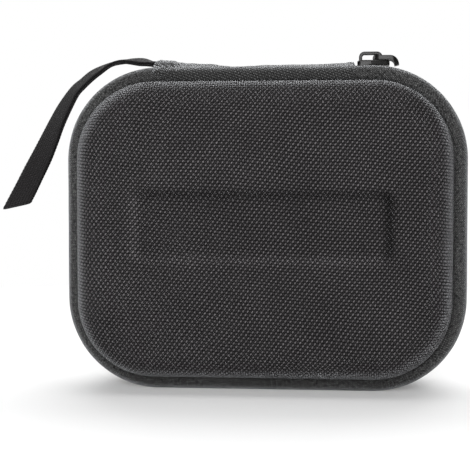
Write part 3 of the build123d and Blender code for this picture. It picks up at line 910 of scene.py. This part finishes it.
def strapStations():
    path = smoothPath(strapPlaces, strap["smooth"])
    stations, run, flat = [], 0.0, Vector((0, 1, 0))
    for k, (x, z, turn, part, slip) in enumerate(path):
        a, b = path[max(k - 1, 0)], path[min(k + 1, len(path) - 1)]
        along = Vector((b[0] - a[0], 0, b[1] - a[1])).normalized()
        wide = flat * math.cos(math.radians(turn)) - along.cross(flat) * math.sin(math.radians(turn))
        if k:
            run += math.hypot(x - path[k - 1][0], z - path[k - 1][1])
        stations.append({
            "middle": Vector((case["centreX"] + x, 0, z)), "along": along, "wide": wide,
            "out": wide.cross(along).normalized(), "part": part, "slip": slip, "run": run,
        })
    return stations


# The outer ply runs down, folds over the end and comes back up as the inner ply
def foldedStrap(stations):
    s, last = strap, stations[-1]
    order = [(p, p["middle"] + p["out"] * p["part"] / 2, p["out"], p["run"]) for p in stations]
    for k in range(1, s["turnSteps"]):
        angle = math.pi * k / s["turnSteps"]
        out, along, halfPart = last["out"], last["along"], last["part"] / 2
        swing = out * halfPart * math.cos(angle) + along * (halfPart + s["foldReach"]) * math.sin(angle)
        centre = last["middle"] + swing + last["wide"] * last["slip"] * k / s["turnSteps"]
        facing = out * math.cos(angle) + along * math.sin(angle)
        order.append((last, centre, facing, last["run"] + k * s["foldStep"]))
    for p in reversed(stations):
        centre = p["middle"] - p["out"] * p["part"] / 2 + p["wide"] * p["slip"]
        order.append((p, centre, -p["out"], 2 * last["run"] + s["foldRun"] - p["run"]))
    n, verts = s["across"], []
    for place, centre, out, run in order:
        ripple = s["edgeBump"] * math.sin(2 * math.pi * run / s["edgePitch"])
        near = clamp((place["run"] - last["run"] + s["slantFrom"]) / s["slantFrom"])
        slant = place["along"] * s["slant"] * near * near
        for layer in (1, -1):
            for k in range(n + 1):
                t = (2 * k / n - 1) * layer
                edge = s["width"] / 2 + (ripple if abs(t) == 1 else 0.0)
                thick = s["ply"] / 2 * (1 - s["edgeThin"] * abs(t) ** s["edgePower"])
                point = centre + place["wide"] * t * edge + out * thick * layer + slant * t
                verts.append(point * mm)
    size = 2 * (n + 1)
    around = [s["width"] * (j / n) for j in range(size + 1)]
    runs = [row[3] for row in order]
    return tubeObject("wristStrap", verts, runs, around, [(0.0, 0.0)] * size, turned=True)


strapCloth = foldedStrap(strapStations())
dress(strapCloth, strapWebbing, None, "webbing", "wrist_strap", "strap_root")
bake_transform(strapCloth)
print("strap done")


# Stitches: short raised threads in rows, along any path

stitch = {
    "length": 2.2, "gap": 0.7, "thick": 0.32, "sides": 6, "bindingInset": 10.14, "bindingDepth": 10.6,
    "bindingSteps": 380,
}
boxStitch = {"place": 6.6, "length": 3.4, "width": 7.0, "top": 112.3, "steps": 4}


def stitchShape():
    sides, verts = stitch["sides"], []
    for along, size in ((-1.0, 0.3), (-0.7, 0.8), (0.0, 1.0), (0.7, 0.8), (1.0, 0.3)):
        radius = stitch["thick"] / 2 * size
        for k in range(sides):
            angle = 2 * math.pi * k / sides
            x = along * stitch["length"] / 2
            verts.append((x * mm, radius * math.cos(angle) * mm, radius * math.sin(angle) * mm))
    return rodObject("stitchShape", verts, sides)


def stitchRow(name, points):
    return repeatPiece(name, points, stitchShape(), repeatAny, stitch["length"] + stitch["gap"], seamThread)


def stitchingBox():
    b = boxStitch
    x, y = case["centreX"] - case["hingeHalf"] - b["place"], b["width"] / 2
    half = b["length"] / 2
    corners = [(x - half, -y), (x + half, -y), (x + half, y), (x - half, y), (x - half, -y)]
    points = []
    for (x0, y0), (x1, y1) in zip(corners, corners[1:]):
        for k in range(b["steps"]):
            across, up = x0 + (x1 - x0) * k / b["steps"], y0 + (y1 - y0) * k / b["steps"]
            points.append(Vector((across * mm, up * mm, b["top"] * mm)))
    points.append(points[0])
    return stitchRow("strapStitching", points)


# A row of stitches round the inside of each half, through the binding
def bindingStitches(name, side):
    s, steps = stitch, stitch["bindingSteps"]
    spots = [case["perimeter"] * k / steps for k in range(steps + 1)]
    return stitchRow(name, [onRim(spot, s["bindingInset"], s["bindingDepth"], side) for spot in spots])


dress(stitchingBox(), seamThread, "rear_half", "thread", "strap_stitching")
for label, side in halves:
    dress(bindingStitches(label + "BindingStitches", side), seamThread, label + "_half", "thread")
print("stitches done")


# Mesh pocket: crossed yarns within the net's outline, and an elastic hem folded over its top

net = {"cell": 3.4, "yarn": 0.28, "yarnSides": 6, "depth": 16.8, "inset": 10.55, "top": 64.0}
elastic = {
    "section": [(-17.55, 58.9), (-17.6, 61.5), (-17.5, 64.3), (-17.1, 64.75), (-16.5, 64.75), (-16.1, 64.3),
                (-16.0, 61.5), (-16.05, 58.9), (-16.45, 58.9), (-16.4, 63.6), (-17.2, 63.6), (-17.15, 58.9)],
    "steps": 120, "short": 0.1, "clothAlong": 0.95, "clothAround": 0.8,
}


def insideNet(x, z):
    r = case["radius"] - net["inset"]
    halfW = case["width"] / 2 - net["inset"]
    if abs(x) > halfW or z < net["inset"] or z > net["top"]:
        return False
    dx, dz = abs(x) - (halfW - r), (net["inset"] + r) - z
    return not (dx > 0 and dz > 0 and math.hypot(dx, dz) > r)


def netWire():
    cell = net["cell"]
    verts, index, edges = [], {}, []
    cols, rows = int(case["width"] / cell / 2) + 1, int(net["top"] / cell * 2) + 2
    for r in range(rows):
        for c in range(-cols, cols + 1):
            x, z = (c + (r % 2) / 2) * cell, r * cell / 2
            if insideNet(x, z):
                index[(c, r)] = len(verts)
                verts.append(fromMiddle(x, -net["depth"], z))
    for (c, r), here in index.items():
        right = c + r % 2
        for other in ((right, r + 1), (right - 1, r + 1)):
            if other in index:
                edges.append((here, index[other]))
    return wireObject("netWire", verts, edges)


def yarnTree():
    tree, source, target = nodeTree("yarns", [
        ("Radius", "NodeSocketFloat", 0.0002),
        ("Material", "NodeSocketMaterial", None),
    ])
    add, link = tree.nodes.new, tree.links.new
    curve = add("GeometryNodeMeshToCurve")
    ring = add("GeometryNodeCurvePrimitiveCircle")
    ring.inputs["Resolution"].default_value = net["yarnSides"]
    tube = add("GeometryNodeCurveToMesh")
    tube.inputs["Fill Caps"].default_value = True
    real = add("GeometryNodeRealizeInstances")
    paint = add("GeometryNodeSetMaterial")
    split = add("GeometryNodeSplitEdges")
    link(source.outputs["Geometry"], split.inputs[0])
    link(split.outputs[0], curve.inputs[0])
    link(source.outputs["Radius"], ring.inputs["Radius"])
    link(curve.outputs[0], tube.inputs["Curve"])
    link(ring.outputs[0], tube.inputs["Profile Curve"])
    link(tube.outputs[0], real.inputs[0])
    link(real.outputs[0], paint.inputs[0])
    link(source.outputs["Material"], paint.inputs["Material"])
    link(paint.outputs[0], target.inputs[0])
    return tree


netMesh = bakeNodes(netWire(), yarnTree(), {"Radius": net["yarn"] * mm, "Material": netYarn}, "pocketNet")
dress(netMesh, netYarn, "front_half", "net_mesh", "pocket_net")


# The hem gathers a little below its fold, out on one side and in on the other
def elasticHem():
    e = elastic
    halfW = case["width"] / 2 - net["inset"] - e["short"]
    verts = []
    for k in range(e["steps"] + 1):
        x = -halfW + 2 * halfW * k / e["steps"]
        gather = 0.12 * math.sin(x * 1.9) + 0.08 * math.sin(x * 3.3 + 1)
        for y, z in e["section"]:
            if z < net["top"]:
                y += gather * (0.5 if y > -net["depth"] else -0.5)
            verts.append(fromMiddle(x, y, z))
    size = len(e["section"])
    along = [k * e["clothAlong"] for k in range(e["steps"] + 1)]
    around = [j * e["clothAround"] for j in range(size + 1)]
    return tubeObject("pocketElastic", verts, along, around, [(0.0, 0.0)] * size, turned=True)


dress(elasticHem(), bindingWeave, "front_half", "elastic", "pocket_elastic")
print("mesh pocket done")


# Floor, light and camera

studio = {
    "floorTone": 0.95, "floorReach": 6.0, "worldTone": 0.1, "whiteFrom": 0.13, "whiteTo": 0.42, "glow": 0.19,
    "target": (0, 0, 0.03),
}
lamps = [  # name, place, size and power
    ("top", (0.1, 0.0, 0.9), 1.3, 5.9),
    ("topBehind", (0.0, 0.6, 0.7), 1.0, 7.9),
    ("frontLow", (0.0, -0.7, 0.2), 0.36, 5.65),
]


# Pale floor that turns plain white away from the case, for the camera and for reflections
def floorMaterial():
    material, tree, shader = startMaterial("paleFloor", 0.9, 0.1)
    shader.inputs["Base Color"].default_value = (studio["floorTone"],) * 3 + (1.0,)
    place = tree.nodes.new("ShaderNodeTexCoord")
    reach = tree.nodes.new("ShaderNodeVectorMath")
    reach.operation = "LENGTH"
    tree.links.new(place.outputs["Object"], reach.inputs[0])
    far = stretch(tree, reach.outputs["Value"], studio["whiteFrom"], studio["whiteTo"], studio["glow"], 1.0)
    path = tree.nodes.new("ShaderNodeLightPath")
    seen = calc(tree, "MAXIMUM", path.outputs["Is Camera Ray"], path.outputs["Is Glossy Ray"])
    white = tree.nodes.new("ShaderNodeEmission")
    mix = tree.nodes.new("ShaderNodeMixShader")
    tree.links.new(calc(tree, "MULTIPLY", far, seen), mix.inputs[0])
    tree.links.new(shader.outputs[0], mix.inputs[1])
    tree.links.new(white.outputs[0], mix.inputs[2])
    tree.links.new(mix.outputs[0], tree.nodes["Material Output"].inputs[0])
    return material


def plainStage():
    mesh = bpy.data.meshes.new("floor")
    r = studio["floorReach"]
    mesh.from_pydata([(-r, -r, 0), (r, -r, 0), (r, r, 0), (-r, r, 0)], [], [(0, 1, 2, 3)])
    floor = linkObject("floor", mesh)
    floor.data.materials.append(floorMaterial())
    world = bpy.data.worlds.new("softWorld")
    world.use_nodes = True
    nodes, links = world.node_tree.nodes, world.node_tree.links
    back, seen = nodes["Background"], nodes.new("ShaderNodeBackground")
    for shade, strength in ((back, studio["worldTone"]), (seen, 1.0)):
        setInputs(shade, {"Color": (1, 1, 1, 1), "Strength": strength})
    path = nodes.new("ShaderNodeLightPath")
    mix = nodes.new("ShaderNodeMixShader")
    links.new(path.outputs["Is Camera Ray"], mix.inputs[0])
    links.new(back.outputs[0], mix.inputs[1])
    links.new(seen.outputs[0], mix.inputs[2])
    links.new(mix.outputs[0], nodes["World Output"].inputs[0])
    bpy.context.scene.world = world


def softLight(name, place, size, power):
    light = bpy.data.lights.new(name, "AREA")
    light.shape, light.size, light.energy = "SQUARE", size, power
    obj = linkObject(name, light)
    obj.location = place
    obj.rotation_euler = (Vector(studio["target"]) - Vector(place)).to_track_quat("-Z", "Y").to_euler()


plainStage()
for name, place, size, power in lamps:
    softLight(name, place, size, power)

shot = {
    "distance": 420.0, "azimuth": 5.50, "height": 72.0, "aim": (0.75, -7.0, 52.79), "viewWidth": 160.46,
    "sensor": 36.0,
}
azimuth = math.radians(shot["azimuth"])
aim = Vector(shot["aim"]) * mm
cameraData = bpy.data.cameras.new("camera")
cameraData.sensor_width = shot["sensor"]
cameraData.lens = shot["sensor"] * shot["distance"] / shot["viewWidth"]
camera = linkObject("camera", cameraData)
camera.location = aim + Vector((math.sin(azimuth), -math.cos(azimuth), 0)) * shot["distance"] * mm
camera.location.z = shot["height"] * mm
camera.rotation_euler = (aim - camera.location).to_track_quat("-Z", "Y").to_euler()
bpy.context.scene.camera = camera
bpy.context.scene.view_settings.view_transform = "Standard"
print("stage and camera done")
